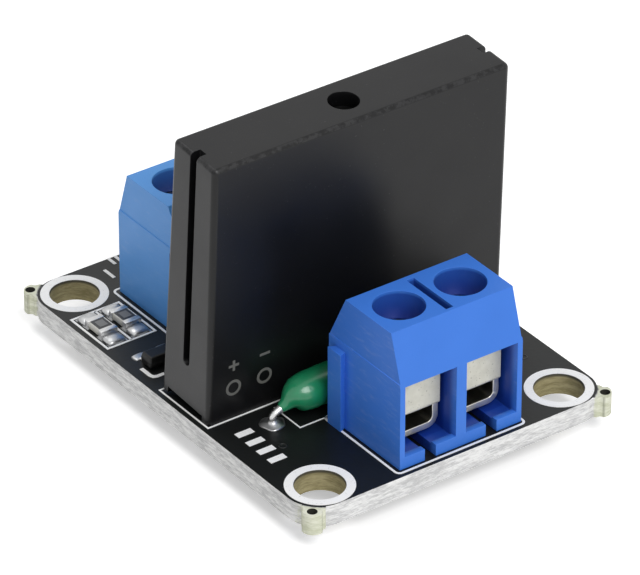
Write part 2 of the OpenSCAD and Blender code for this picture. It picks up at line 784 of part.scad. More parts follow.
module pin_solder() {
    color([0.75, 0.76, 0.78]) difference() {
        for (p = pin_places()) translate([p[0], p[1], -solder_h])
            cylinder(d1 = solder_tip_d, d2 = solder_d, h = solder_h);
        for (i = [1:4]) relay_pin(i);
        for (i = [1:output_ways]) output_contact(i);
        for (i = [1:input_ways]) input_contact(i);
        fuse_lead_left();
        fuse_lead_right();
    }
}

// collar of solder round a fuse lead, as high as the lead stays straight
module lead_collar() {
    collar_h = fuse_bend_z - board_t;
    difference() {
        cylinder(d1 = lead_solder_d, d2 = fuse_neck_d, h = collar_h);
        translate([0, 0, -lap]) cylinder(d = fuse_lead_d, h = collar_h + 2 * lap);
    }
}

// pool of solder in front of a transistor lead's foot
module lead_pool() {
    pool_w = 2 * transistor_lead_w;
    translate([-pool_w / 2, transistor_w / 2 + transistor_reach, 0])
        cube([pool_w, transistor_lead_w, transistor_lead_t]);
}

module top_solder() {
    color([0.75, 0.76, 0.78]) {
        for (i = [1:2]) translate(chip_place(i)) chip_fillets(chip_h);
        translate(led_place) chip_fillets(led_base_h);
        at_transistor_leads() lead_pool();
        for (s = [-1, 1]) translate([fuse_x + s * fuse_span / 2, fuse_y, board_t]) lead_collar();
    }
}

// ---- nodes ----

circuit_board();
relay_case();
relay_resin();
for (i = [1:4]) relay_pin(i);
output_terminal_housing();
for (i = [1:output_ways]) {
    output_clamp(i);
    output_screw(i);
    output_contact(i);
}
input_terminal_housing();
for (i = [1:input_ways]) {
    input_clamp(i);
    input_screw(i);
    input_contact(i);
}
fuse_body();
fuse_lead_left();
fuse_lead_right();
for (i = [1:2]) {
    chip_resistor(i);
    chip_resistor_caps(i);
}
transistor_body();
transistor_leads();
status_light();
status_light_caps();
pin_solder();
top_solder();
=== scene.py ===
"""Finish of the relay module board: materials, edges, solder, print and threads around the
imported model, on a plain pale floor under soft studio light."""
import json
import math

import bmesh
import bpy
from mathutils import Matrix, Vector


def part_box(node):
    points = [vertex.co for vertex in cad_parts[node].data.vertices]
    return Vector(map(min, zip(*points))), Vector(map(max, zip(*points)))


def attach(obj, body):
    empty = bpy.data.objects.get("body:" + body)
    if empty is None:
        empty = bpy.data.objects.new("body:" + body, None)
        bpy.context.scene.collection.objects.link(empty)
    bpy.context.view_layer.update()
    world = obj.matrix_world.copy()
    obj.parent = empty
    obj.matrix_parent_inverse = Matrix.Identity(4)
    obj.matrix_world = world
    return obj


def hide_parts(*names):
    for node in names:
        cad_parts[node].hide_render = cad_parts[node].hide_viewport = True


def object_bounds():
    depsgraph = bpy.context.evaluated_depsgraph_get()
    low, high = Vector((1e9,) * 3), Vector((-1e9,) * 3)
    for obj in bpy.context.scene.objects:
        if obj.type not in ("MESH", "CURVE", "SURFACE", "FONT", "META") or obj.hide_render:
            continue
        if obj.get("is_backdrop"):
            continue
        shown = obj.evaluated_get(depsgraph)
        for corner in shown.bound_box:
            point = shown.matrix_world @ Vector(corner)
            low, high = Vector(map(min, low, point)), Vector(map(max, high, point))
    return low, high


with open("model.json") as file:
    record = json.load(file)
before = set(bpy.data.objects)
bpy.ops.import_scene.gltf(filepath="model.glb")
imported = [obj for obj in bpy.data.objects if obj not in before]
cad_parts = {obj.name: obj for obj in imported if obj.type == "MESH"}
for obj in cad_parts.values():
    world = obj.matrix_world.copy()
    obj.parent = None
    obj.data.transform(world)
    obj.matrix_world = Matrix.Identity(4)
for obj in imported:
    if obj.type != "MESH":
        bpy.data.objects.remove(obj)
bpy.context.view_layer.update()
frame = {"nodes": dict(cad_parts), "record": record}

MM = 0.001

# ---- places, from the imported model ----

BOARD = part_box("circuit_board")
HOLES = next(m for m in frame["record"]["mounts"] if m["name"] == "mounting_holes")["dims"]
HOLE_X = HOLES["spacing_x_mm"] / 2 * MM
HOLE_Y = HOLES["spacing_y_mm"] / 2 * MM
HOLE_R = HOLES["hole_r_mm"] * MM
RING_R = 2.42 * MM
TOP = BOARD[1].z
SCREW_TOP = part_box("output_screw_1")[1].z
BODY_OF = {node: body for body, nodes in frame["record"]["behaviour"]["bodies"].items()
           for node in nodes}
SLOT_OF = {row["node"]: row["material_slot"] for row in frame["record"]["subparts"]}


def middle(node):
    low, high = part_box(node)
    return (low + high) / 2


def each(prefix):
    """The nodes whose names start with the prefix, in order."""
    return sorted(n for n in frame["nodes"] if n.startswith(prefix))


# ---- materials ----

class Value:
    """A node socket that adds, subtracts, multiplies and compares like a number."""

    def __init__(self, graph, socket):
        self.graph = graph
        self.socket = socket

    def maths(self, operation, first, second=0.0):
        return self.graph.node("ShaderNodeMath", {"operation": operation}, {0: first, 1: second})

    def __add__(self, other):
        return self.maths("ADD", self, other)

    __radd__ = __add__

    def __sub__(self, other):
        return self.maths("SUBTRACT", self, other)

    def __rsub__(self, other):
        return self.maths("SUBTRACT", other, self)

    def __mul__(self, other):
        return self.maths("MULTIPLY", self, other)

    __rmul__ = __mul__

    def __truediv__(self, other):
        return self.maths("DIVIDE", self, other)

    def __gt__(self, other):
        return self.maths("GREATER_THAN", self, other)

    def __lt__(self, other):
        return self.maths("LESS_THAN", self, other)

    def __pow__(self, other):
        return self.maths("POWER", self, other)

    def __abs__(self):
        return self.maths("ABSOLUTE", self)


class Graph:
    """A node tree. A node is added with its settings first and then its inputs."""

    prefix = "ShaderNode"

    def __init__(self, tree):
        self.tree = tree

    def node(self, kind, settings=None, inputs=None, out=0):
        made = self.tree.nodes.new(kind if "Node" in kind else self.prefix + kind)
        for key, value in (settings or {}).items():
            setattr(made, key, value)
        for key, value in (inputs or {}).items():
            self.feed(made.inputs[key], value)
        return Value(self, made.outputs[out])

    def feed(self, socket, value):
        if isinstance(value, Value):
            self.tree.links.new(value.socket, socket)
        elif isinstance(value, (list, tuple)) and value and isinstance(value[0], Value):
            for one in value:
                self.tree.links.new(one.socket, socket)
        elif socket.type == "RGBA":
            socket.default_value = (*value[:3], 1)
        else:
            socket.default_value = value

    def parts(self, vector):
        """The X, Y and Z of a vector."""
        made = self.node("ShaderNodeSeparateXYZ", {}, {0: vector}).socket.node
        return [Value(self, made.outputs[k]) for k in range(3)]


class Finish(Graph):
    """A material with a Principled surface, built from noise, masks and plain arithmetic."""

    def __init__(self, name):
        self.material = bpy.data.materials.new(name)
        self.material.use_nodes = True
        super().__init__(self.material.node_tree)
        self.shader = self.tree.nodes["Principled BSDF"]
        self.place = self.node("TexCoord", out="Object")

    def surface(self, **inputs):
        """The material, once the shader's inputs are set."""
        for key, value in inputs.items():
            self.feed(self.shader.inputs[key.replace("_", " ").title().replace("Ior", "IOR")], value)
        return self.material

    def noise(self, size, detail=3, rough=0.55, stretch=(1, 1, 1)):
        """Noise from 0 to 1 whose blotches are about size across."""
        at = self.node("Mapping", {}, {"Vector": self.place, "Scale": [s / size for s in stretch]})
        return self.node("TexNoise", {}, {"Vector": at, "Scale": 1, "Detail": detail, "Roughness": rough})

    def cells(self, size):
        """Distance to the middle of the nearest of cells that are about size across."""
        at = self.node("Mapping", {}, {"Vector": self.place, "Scale": [1 / size] * 3})
        return self.node("TexVoronoi", {}, {"Vector": at, "Scale": 1})

    def facing(self):
        """The X, Y and Z of the surface's normal."""
        return self.parts(self.node("NewGeometry", out="Normal"))

    def step(self, value, low, high, bottom=0.0, top=1.0):
        """Runs smoothly from bottom to top as the value goes from low to high."""
        return self.node("MapRange", {"interpolation_type": "SMOOTHSTEP"},
                         {0: value, 1: low, 2: high, 3: bottom, 4: top})

    def mix(self, share, first, second):
        """A colour between first and second."""
        return self.node("Mix", {"data_type": "RGBA"}, {0: share, 6: first, 7: second}, out=2)

    def blend(self, share, first, second):
        """A number between first and second."""
        return self.node("Mix", {"data_type": "FLOAT"}, {0: share, 2: first, 3: second})

    def tint(self, colour, value, spread):
        """The colour, darker and lighter by spread as the value goes from 0 to 1."""
        dark = [c * (1 - spread) for c in colour]
        light = [min(1, c * (1 + spread)) for c in colour]
        return self.mix(value, dark, light)

    def bump(self, height, depth):
        return self.node("Bump", {}, {"Height": height, "Distance": depth, "Strength": 1})


class Former(Graph):
    """A geometry tree with a named input for each size, ending in one realised mesh with a material."""

    prefix = "GeometryNode"

    def __init__(self, name, sizes):
        tree = bpy.data.node_groups.new(name, "GeometryNodeTree")
        super().__init__(tree)
        tree.interface.new_socket("Geometry", in_out="INPUT", socket_type="NodeSocketGeometry")
        tree.interface.new_socket("Geometry", in_out="OUTPUT", socket_type="NodeSocketGeometry")
        self.identifiers = {}
        for key in (*sizes, "Material"):
            kind = "NodeSocketMaterial" if key == "Material" else "NodeSocketFloat"
            socket = tree.interface.new_socket(key, in_out="INPUT", socket_type=kind)
            self.identifiers[key] = socket.identifier
        self.inlet = tree.nodes.new("NodeGroupInput")
        self.outlet = tree.nodes.new("NodeGroupOutput")

    def size(self, name):
        return Value(self, self.inlet.outputs[name])

    def inlet_geometry(self):
        return Value(self, self.inlet.outputs["Geometry"])

    def end(self, geometry):
        """Realises the instances and sets the material, as the last step of the tree."""
        solid = self.node("RealizeInstances", {}, {0: geometry})
        finished = self.node("SetMaterial", {}, {"Geometry": solid, "Material": self.size("Material")})
        self.tree.links.new(finished.socket, self.outlet.inputs[0])

    def vector(self, x=0.0, y=0.0, z=0.0):
        return self.node("ShaderNodeCombineXYZ", {}, {0: x, 1: y, 2: z})

    def move(self, geometry, offset):
        return self.node("Transform", {}, {"Geometry": geometry, "Translation": offset})

    def join(self, *geometries):
        return self.node("JoinGeometry", {}, {0: geometries})

    def make(self, name, carrier_mesh, material, **sizes):
        """The mesh that the tree makes of the carrier at these sizes."""
        carrier = carried(name, carrier_mesh)
        modifier = carrier.modifiers.new("form", "NODES")
        modifier.node_group = self.tree
        for key, value in {**sizes, "Material": MATERIALS[material]}.items():
            modifier[self.identifiers[key]] = value
        return baked(carrier)


def grey(level):
    return (level, level, level)


def moulded(name, colour, roughness, grain=0.12 * MM, spread=0.06, shine=0.5):
    """Moulded plastic: fine spark texture, faint flow marks and slightly uneven gloss."""
    finish = Finish(name)
    flow = finish.noise(3 * MM, detail=2)
    spark = finish.noise(grain, detail=2)
    return finish.surface(
        base_color=finish.tint(colour, flow, spread),
        roughness=finish.step(flow, 0.3, 0.7, roughness * 1.1, roughness * 0.9),
        specular_ior_level=shine,
        normal=finish.bump(spark, 0.004 * MM))


TAB_HALF = 1.3 * MM
TAB_HOLE_OUT = 3.15 * MM
TAB_HOLE_PITCH = 1.0 * MM
TAB_HOLE_R = 0.36 * MM


def laminate():
    """Black solder mask on both faces; bare glass fibre at every cut edge and on the broken tabs. The
    mounting-hole walls are a darker, yellower fibre, partly their own tone and partly painted shade, with a
    painted dark band at their top. The tab's broken holes carry painted shade, and its drill hole is
    painted nearly black as shade.
    """
    finish = Finish("board_laminate")
    x, y, z = finish.parts(finish.place)
    past_x, past_y = abs(x) - HOLE_X, abs(y) - HOLE_Y
    from_hole = (past_x * past_x + past_y * past_y) ** 0.5
    in_hole = from_hole < HOLE_R + 0.3 * MM

    diagonal = math.sqrt(0.5)
    outward, across = (past_x + past_y) * diagonal, abs(past_x - past_y) * diagonal
    mask_end = RING_R + 0.26 * MM
    ragged = finish.noise(0.3 * MM, detail=2) * (0.25 * MM)
    past_mask = finish.step(from_hole + ragged, mask_end, mask_end + 0.16 * MM)
    stub = (outward > 0) * (across < TAB_HALF) * past_mask
    masked = (abs(finish.facing()[2]) > 0.5) * (1 - stub)

    out_of_drill = outward - TAB_HOLE_OUT
    beside_drill = across - TAB_HOLE_PITCH
    # the tab's drill hole and its broken half-holes: masks used only for painted shade
    drill_hole_shade = out_of_drill * out_of_drill + across * across < TAB_HOLE_R ** 2
    broken = out_of_drill * out_of_drill + beside_drill * beside_drill < TAB_HOLE_R ** 2

    fibre = finish.noise(0.9 * MM, detail=4, rough=0.7, stretch=(0.5, 0.5, 2.6))
    strand = finish.noise(0.14 * MM, detail=2, stretch=(0.35, 0.35, 2.5))
    blotch = finish.step(fibre * 0.65 + strand * 0.35, 0.38, 0.62)
    edge = finish.mix(blotch, (0.54, 0.54, 0.54), (0.88, 0.88, 0.87))
    # hole walls: a darker, yellower fibre than the cut edges, partly its own tone and partly painted shade
    # in the hole
    wall = finish.mix(blotch, (0.27, 0.235, 0.115), (0.44, 0.385, 0.215))
    # painted shade: a dark band along the top of each hole's side
    rim = finish.step(z, TOP - 0.3 * MM, TOP - 0.1 * MM, 0, 0.85)
    wall = finish.mix(rim, wall, (0.03, 0.03, 0.028))
    snapped = finish.mix(blotch, (0.58, 0.6, 0.44), (0.78, 0.79, 0.66))
    bare = finish.mix(in_hole, finish.mix(stub, edge, snapped), wall)
    # painted shade in the broken half-holes beside the tab
    bare = finish.mix(broken * 0.3, bare, (0.12, 0.12, 0.09))
    # painted shade: the drill hole painted nearly black
    bare = finish.mix(drill_hole_shade, bare, (0.035, 0.035, 0.028))

    cloud = finish.noise(5 * MM, detail=3)
    mask_colour = finish.mix(cloud, (0.003, 0.0035, 0.0035), (0.008, 0.009, 0.009))
    weave = finish.cells(0.35 * MM)
    return finish.surface(
        base_color=finish.mix(masked, bare, mask_colour),
        roughness=finish.blend(masked, 0.75, 0.42),
        specular_ior_level=0.3,
        normal=finish.bump(finish.blend(masked, strand, weave * 0.12), 0.03 * MM))


def mask_over_copper():
    """Solder mask where it runs over a copper track: a shade lighter, and smoother."""
    finish = Finish("mask_over_copper")
    cloud = finish.noise(2 * MM)
    return finish.surface(
        base_color=finish.mix(cloud, (0.012, 0.013, 0.013), (0.022, 0.024, 0.024)),
        roughness=0.3,
        normal=finish.bump(finish.noise(0.3 * MM), 0.006 * MM))


def print_ink():
    """White screen-printed ink, a little thin in scattered specks."""
    finish = Finish("white_print")
    speck = finish.noise(0.12 * MM, detail=2)
    return finish.surface(
        base_color=finish.mix(finish.step(speck, 0.22, 0.4), (0.66, 0.66, 0.65), (0.97, 0.97, 0.96)),
        roughness=0.55,
        normal=finish.bump(speck, 0.006 * MM))


def tinned(name, colour, roughness, cloud=1.2 * MM):
    """Tinned metal: clouded colour, uneven gloss and fine pits."""
    finish = Finish(name)
    haze = finish.noise(cloud, detail=4, rough=0.6)
    pits = finish.noise(0.1 * MM, detail=2)
    return finish.surface(
        base_color=finish.tint(colour, haze, 0.12),
        metallic=1.0,
        roughness=finish.step(haze, 0.3, 0.7, roughness * 1.3, roughness * 0.75),
        normal=finish.bump(pits, 0.004 * MM))


def contact_tin():
    """Matte tin on the sheet contacts: soft grey, with small dark specks from the bath."""
    finish = Finish("tinned_contacts")
    haze = finish.noise(0.8 * MM, detail=3)
    speck = finish.step(finish.noise(0.15 * MM, detail=1), 0.66, 0.76)
    clean = finish.mix(haze, (0.52, 0.51, 0.44), (0.66, 0.65, 0.57))
    return finish.surface(
        base_color=finish.mix(speck * 0.6, clean, (0.2, 0.19, 0.15)),
        metallic=0.75,
        roughness=finish.step(haze, 0.3, 0.7, 0.6, 0.48),
        normal=finish.bump(haze + speck * 0.3, 0.008 * MM))


def relay_plastic():
    """Black thermoset, satin, with a fine grain and specks of dust. Its rounded edges that face partly
    upwards are paler: partly rubbed wear and partly a painted highlight.
    """
    finish = Finish("relay_plastic")
    cloud = finish.noise(4 * MM, detail=4, rough=0.6)
    grain = finish.noise(0.09 * MM, detail=3)
    dust = finish.step(finish.noise(0.16 * MM, detail=1), 0.72, 0.8)
    black = finish.mix(cloud, (0.0025, 0.0025, 0.003), (0.006, 0.006, 0.0065))
    up = finish.facing()[2]
    rubbed = finish.step(finish.noise(0.5 * MM, detail=4, rough=0.7), 0.42, 0.6)
    # rounded edges that face partly upwards: rubbed wear together with a painted highlight along them
    wear_and_edge_highlight = finish.step(up, 0.15, 0.35) * (1 - finish.step(up, 0.9, 0.98)) * rubbed * 0.45
    return finish.surface(
        base_color=finish.mix(wear_and_edge_highlight, finish.mix(dust, black, (0.03, 0.03, 0.03)), (0.05, 0.05, 0.052)),
        roughness=finish.step(cloud, 0.3, 0.7, 0.38, 0.3),
        specular_ior_level=0.3,
        normal=finish.bump(grain, 0.003 * MM))


def fuse_lacquer():
    """Thick green lacquer that ran while it dried, deeper in colour where it is thick."""
    finish = Finish("fuse_coating")
    run = finish.noise(1.3 * MM, detail=2)
    bubble = finish.step(finish.cells(0.5 * MM), 0.0, 0.12)
    return finish.surface(
        base_color=finish.mix(run, (0.005, 0.19, 0.075), (0.014, 0.28, 0.12)),
        roughness=0.28,
        coat_weight=0.5,
        coat_roughness=0.06,
        normal=finish.bump(run + bubble * 0.05, 0.06 * MM))


def overcoat():
    """Dark glaze of a chip resistor."""
    finish = Finish("chip_overcoat")
    cloud = finish.noise(0.5 * MM)
    return finish.surface(
        base_color=finish.mix(cloud, (0.016, 0.016, 0.018), (0.045, 0.045, 0.05)),
        roughness=0.34,
        normal=finish.bump(cloud, 0.01 * MM))


def clear_lens():
    """Cast lens of the status light over its pale ceramic base."""
    finish = Finish("light_lens")
    cloud = finish.noise(0.6 * MM)
    return finish.surface(
        base_color=finish.mix(cloud, (0.62, 0.55, 0.36), (0.8, 0.74, 0.55)),
        roughness=0.18,
        coat_weight=0.6,
        normal=finish.bump(cloud, 0.01 * MM))


def solder_tin():
    """Solder that froze with a soft shine, frosted in patches."""
    finish = Finish("solder")
    frost = finish.noise(0.4 * MM, detail=4, rough=0.6)
    ripple = finish.noise(0.25 * MM, detail=2)
    return finish.surface(
        base_color=finish.mix(frost, (0.34, 0.345, 0.35), (0.6, 0.605, 0.61)),
        metallic=1.0,
        roughness=finish.step(frost, 0.35, 0.65, 0.46, 0.28),
        normal=finish.bump(ripple, 0.012 * MM))


def screw_steel():
    """Zinc-plated steel, bright on the top of its head and darker below it, in the slot, on the head's side
    and on the thread: partly oxide and partly painted shade.
    """
    finish = Finish("clamp_screws")
    height = finish.parts(finish.place)[2]
    haze = finish.noise(0.7 * MM, detail=4, rough=0.6)
    # below the top of the head the steel is darker: partly oxide, partly painted shade of the slot and the
    # hole that the screw sits in
    head = finish.step(height, SCREW_TOP - 0.4 * MM, SCREW_TOP - 0.15 * MM)
    bright = finish.tint((0.56, 0.56, 0.55), haze, 0.14)
    return finish.surface(
        base_color=finish.mix(head, (0.13, 0.125, 0.115), bright),
        metallic=1.0,
        roughness=finish.step(haze, 0.3, 0.7, 0.4, 0.26),
        normal=finish.bump(finish.noise(0.2 * MM, detail=2), 0.003 * MM))


def clamp_steel():
    """Bent strip: its cut faces towards the front and back carry a painted highlight, and its sheet faces
    are painted dark as shade within the clamp.
    """
    finish = Finish("clamp_steel")
    haze = finish.noise(0.9 * MM, detail=4, rough=0.6)
    # painted highlight: the faces towards the front and back made bright
    cut = finish.step(abs(finish.facing()[1]), 0.45, 0.8)
    # painted shade: the sheet faces made dark, as within the clamp
    shaded_sheet_faces = finish.tint((0.2, 0.19, 0.16), haze, 0.2)
    return finish.surface(
        base_color=finish.mix(cut, shaded_sheet_faces, finish.tint((0.74, 0.72, 0.64), haze, 0.08)),
        metallic=1.0,
        roughness=finish.step(haze, 0.3, 0.7, 0.42, 0.3),
        normal=finish.bump(finish.noise(0.1 * MM, detail=2, stretch=(0.2, 1, 1)), 0.0015 * MM))


def terminal_plastic(name, housing, colour, scuff):
    """Blue housing plastic with rubbed sides, and painted shade: a deeper blue down the screw holes and
    into the wire openings.
    """
    low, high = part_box(housing)
    kind = housing.split("_")[0]
    screws = [middle(node) for node in each(kind + "_screw_")]
    centre, row = sum(at.x for at in screws) / len(screws), screws[0].y
    half_width = min(high.x - centre, centre - low.x)
    hole_reach = 2.25 * MM
    face = high.y if row > 0 else low.y
    opening_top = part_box(kind + "_contact_1")[1].z - 0.2 * MM

    finish = Finish(name)
    x, y, z = finish.parts(finish.place)
    below, beside, across = high.z - z, abs(x - centre), abs(y - row)
    # painted shade: darker with depth below the top in the screw holes and the slot between them, and back
    # from the wire face in the openings
    down = finish.step(below, 0.1 * MM, 0.3 * MM, 0, 0.7) + finish.step(below, 0.3 * MM, 2 * MM, 0, 0.3)
    behind = finish.step(abs(y - face), 0.15 * MM, 0.9 * MM, 0, 0.9)
    holes = (beside < half_width - 0.5 * MM) * (across < hole_reach) * down
    openings = (beside < half_width - 0.2 * MM) * (across < abs(face - row)) * (z < opening_top) * behind
    recess_shade = holes + openings

    flow = finish.noise(3 * MM, detail=2)
    streak = finish.noise(0.8 * MM, detail=5, rough=0.7, stretch=(1, 0.5, 2.4))
    rubbed = (abs(finish.facing()[0]) > 0.6) * (1 - recess_shade) * finish.step(streak, 0.5, 0.75, 0, scuff)
    plain = finish.mix(rubbed, finish.tint(colour, flow, 0.06), (0.45, 0.55, 0.75))
    # the painted shade colour for the holes and openings
    shade_blue = (colour[0] * 0.18, colour[1] * 0.2, colour[2] * 0.42)
    return finish.surface(
        base_color=finish.mix(recess_shade, plain, shade_blue),
        roughness=finish.step(flow, 0.3, 0.7, 0.42, 0.34),
        specular_ior_level=0.3,
        normal=finish.bump(finish.noise(0.12 * MM, detail=2), 0.004 * MM))


OUTPUT_BLUE = (0.046, 0.19, 0.69)
INPUT_BLUE = (0.09, 0.315, 0.75)

MATERIALS = {
    "board_laminate": laminate(),
    "relay_plastic": relay_plastic(),
    "relay_resin": moulded("relay_resin", grey(0.012), 0.3),
    "tinned_pins": tinned("tinned_pins", (0.7, 0.7, 0.7), 0.3),
    "terminal_plastic": terminal_plastic("terminal_plastic", "output_terminal_housing", OUTPUT_BLUE, 0.16),
    "light_terminal_plastic": terminal_plastic(
        "light_terminal_plastic", "input_terminal_housing", INPUT_BLUE, 0.1),
    "tinned_contacts": contact_tin(),
    "clamp_screws": screw_steel(),
    "clamp_steel": clamp_steel(),
    "fuse_coating": fuse_lacquer(),
    "chip_ceramic": moulded("chip_ceramic", (0.66, 0.65, 0.6), 0.5, spread=0.1),
    "chip_caps": tinned("chip_caps", (0.6, 0.6, 0.6), 0.35, cloud=0.3 * MM),
    "transistor_plastic": moulded("transistor_plastic", grey(0.005), 0.42, shine=0.3),
    "light_lens": clear_lens(),
    "solder": solder_tin(),
    "white_print": print_ink(),
    "grey_print": moulded("grey_print", (0.13, 0.13, 0.12), 0.5, spread=0.2),
    "mask_over_copper": mask_over_copper(),
    "chip_overcoat": overcoat(),
    "chip_trim": moulded("chip_trim", grey(0.17), 0.4, grain=0.05 * MM, spread=0.25),
}
FINISH_OF = {**SLOT_OF, "input_terminal_housing": "light_terminal_plastic"}


# ---- making pieces ----

def add_piece(name, mesh, material, body="board", smooth=None):
    """A finished piece at the origin, with its place in its mesh, riding on its body."""
    mesh.materials.clear()
    mesh.materials.append(MATERIALS[material])
    piece = bpy.data.objects.new(name, mesh)
    bpy.context.scene.collection.objects.link(piece)
    if smooth is not None:
        mesh.shade_smooth()
        mesh.set_sharp_from_angle(angle=math.radians(smooth))
    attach(piece, body)
    return piece


def baked(carrier):
    """The plain mesh that an object's modifiers make; the object itself is removed."""
    bpy.context.view_layer.update()
    graph = bpy.context.evaluated_depsgraph_get()
    mesh = bpy.data.meshes.new_from_object(carrier.evaluated_get(graph), depsgraph=graph)
    bpy.data.objects.remove(carrier)
    return mesh


def on_circle(sides):
    """The angles of evenly spread points round a circle."""
    return [2 * math.pi * k / sides for k in range(sides)]


def skin(shell, rings, closed=False):
    """Joins each ring of corners to the next, and caps both ends unless the rings close on themselves."""
    for low, high in zip(rings, rings[1:] + rings[:1] if closed else rings[1:]):
        for k in range(len(low)):
            after = (k + 1) % len(low)
            shell.faces.new((low[k], low[after], high[after], high[k]))
    if not closed:
        shell.faces.new(list(reversed(rings[0])))
        shell.faces.new(rings[-1])


def held(shell, name):
    """The mesh of a shell of bmesh faces that all point outwards; the shell is freed."""
    bmesh.ops.recalc_face_normals(shell, faces=shell.faces)
    mesh = bpy.data.meshes.new(name)
    shell.to_mesh(mesh)
    shell.free()
    return mesh


def merged(node):
    """The node's triangles as shells with their doubled corners joined."""
    shell = bmesh.new()
    shell.from_mesh(frame["nodes"][node].data)
    bmesh.ops.remove_doubles(shell, verts=shell.verts, dist=0.0005 * MM)
    return shell


def cad_copy(node, flat_angle=0.5):
    """The node's mesh as merged shells whose flat faces are whole."""
    shell = merged(node)
    bmesh.ops.dissolve_limit(shell, angle_limit=math.radians(flat_angle),
                             verts=shell.verts, edges=shell.edges)
    mesh = bpy.data.meshes.new(node)
    shell.to_mesh(mesh)
    shell.free()
    return mesh


def islands(node):
    """The low and high corner of each separate solid of a node."""
    shell = merged(node)
    left = set(shell.verts)
    boxes = []
    while left:
        queue = [left.pop()]
        found = list(queue)
        while queue:
            near = {vert for edge in queue.pop().link_edges for vert in edge.verts} & left
            left -= near
            queue.extend(near)
            found.extend(near)
        spans = [sorted(vert.co[k] for vert in found) for k in range(3)]
        boxes.append((Vector(span[0] for span in spans), Vector(span[-1] for span in spans)))
    shell.free()
    return sorted(boxes, key=lambda box: (round(box[0].x, 5), round(box[0].y, 5)))


def carried(name, mesh):
    """An object that holds a mesh while modifiers work on it."""
    carrier = bpy.data.objects.new(name, mesh)
    bpy.context.scene.collection.objects.link(carrier)
    return carrier


def stand_for(node, mesh, smooth=None):
    """Puts a finished mesh in place of a CAD node."""
    piece = add_piece(node + "_finish", mesh, FINISH_OF[node], BODY_OF[node], smooth)
    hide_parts(node)
    return piece


def soften(node, radius, angle=35, segments=2):
    """Rounds a node's sharp edges, as a mould or a punch leaves them, and keeps its faces flat."""
    mesh = cad_copy(node)
    mesh.shade_smooth()
    carrier = carried(node, mesh)
    bevel = carrier.modifiers.new("edge", "BEVEL")
    bevel.width = radius
    bevel.segments = segments
    bevel.limit_method = "ANGLE"
    bevel.angle_limit = math.radians(angle)
    even = carrier.modifiers.new("even", "WEIGHTED_NORMAL")
    even.keep_sharp = True
    stand_for(node, baked(carrier))


def turned(name, profile, sides=40):
    """A closed turned shape about Z from its profile of radius and height, low to high."""
    shell = bmesh.new()
    skin(shell, [[shell.verts.new((r * math.cos(a), r * math.sin(a), z)) for a in on_circle(sides)]
                 for r, z in profile])
    return held(shell, name)


# ---- fuse ----

def drawn_along(name, path, radii, sides=28):
    """A closed round shape along a path in the XZ plane, with a radius at each of its points."""
    shell = bmesh.new()
    rings = []
    for k, (point, radius) in enumerate(zip(path, radii)):
        way = (path[min(k + 1, len(path) - 1)] - path[max(k - 1, 0)]).normalized()
        side, up = Vector((0, 1, 0)), way.cross(Vector((0, 1, 0)))
        rings.append([shell.verts.new(point + (side * math.cos(a) + up * math.sin(a)) * radius)
                      for a in on_circle(sides)])
    skin(shell, rings)
    return held(shell, name)


def fuse_drop():
    """The dipped coating: full in the middle, with necks that ran down the leads at both ends."""
    low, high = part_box("fuse_body")
    radius, half = (high.z - low.z) / 2, (high.x - low.x) / 2
    outward = [0, 1.2, 1.9, 2.35, 2.65, 2.85, 3.0, 3.2, 3.5, 3.76]
    drop = [0, 0, 0.01, 0.04, 0.1, 0.18, 0.28, 0.42, 0.56, 0.67]
    girth = [1, 0.995, 0.96, 0.87, 0.74, 0.6, 0.48, 0.37, 0.29, 0.25]
    right = [(Vector((half * o / outward[-1], 0, -d * MM)), radius * g)
             for o, d, g in zip(outward, drop, girth)]
    left = [(Vector((-at.x, 0, at.z)), r) for at, r in reversed(right[1:])]
    path = [middle("fuse_body") + at for at, r in left + right]
    carrier = carried("fuse_drop", drawn_along("fuse_drop", path, [r for at, r in left + right]))
    round_off = carrier.modifiers.new("round", "SUBSURF")
    round_off.levels = round_off.render_levels = 2
    wave = carrier.modifiers.new("uneven", "DISPLACE")
    wave.texture = bpy.data.textures.new("coating_run", "CLOUDS")
    wave.texture.noise_scale = 2 * MM
    wave.strength = 0.12 * MM
    wave.mid_level = 0.75
    stand_for("fuse_body", baked(carrier), smooth=180)


# ---- clamp screws ----

SHANK_R = 1.25 * MM
HEAD_H = 1.1 * MM
SLOT_W = 0.6 * MM
SLOT_DEPTH = 0.6 * MM
LEAD = 0.45 * MM
THREAD_DEPTH = 0.16 * MM


def screw_former():
    """Cuts the driver slot into a turned blank and winds the thread round its shank."""
    former = Former("clamp_screw", ["Slot width", "Slot depth", "Head top", "Shank radius",
                                    "Thread start", "Thread length", "Lead", "Thread depth"])
    past_head = 10 * MM
    cutter = former.node("MeshCube", {}, {"Size": former.vector(
        past_head, former.size("Slot width"), former.size("Slot depth") * 2)})
    cutter = former.move(cutter, former.vector(0, 0, former.size("Head top")))
    cut = former.node("MeshBoolean", {"operation": "DIFFERENCE", "solver": "EXACT"},
                      {"Mesh 1": former.inlet_geometry(), "Mesh 2": cutter})
    depth = former.size("Thread depth")
    path_r = former.size("Shank radius") - depth
    spiral = former.node("CurveSpiral", {}, {
        "Resolution": 32, "Rotations": former.size("Thread length") / former.size("Lead"),
        "Start Radius": path_r, "End Radius": path_r, "Height": former.size("Thread length")})
    ridge = former.node("CurvePrimitiveCircle", {"mode": "RADIUS"}, {"Resolution": 4, "Radius": depth})
    thread = former.node("CurveToMesh", {}, {"Curve": spiral, "Profile Curve": ridge, "Fill Caps": True})
    thread = former.move(thread, former.vector(0, 0, former.size("Thread start")))
    former.end(former.join(cut, thread))
    return former


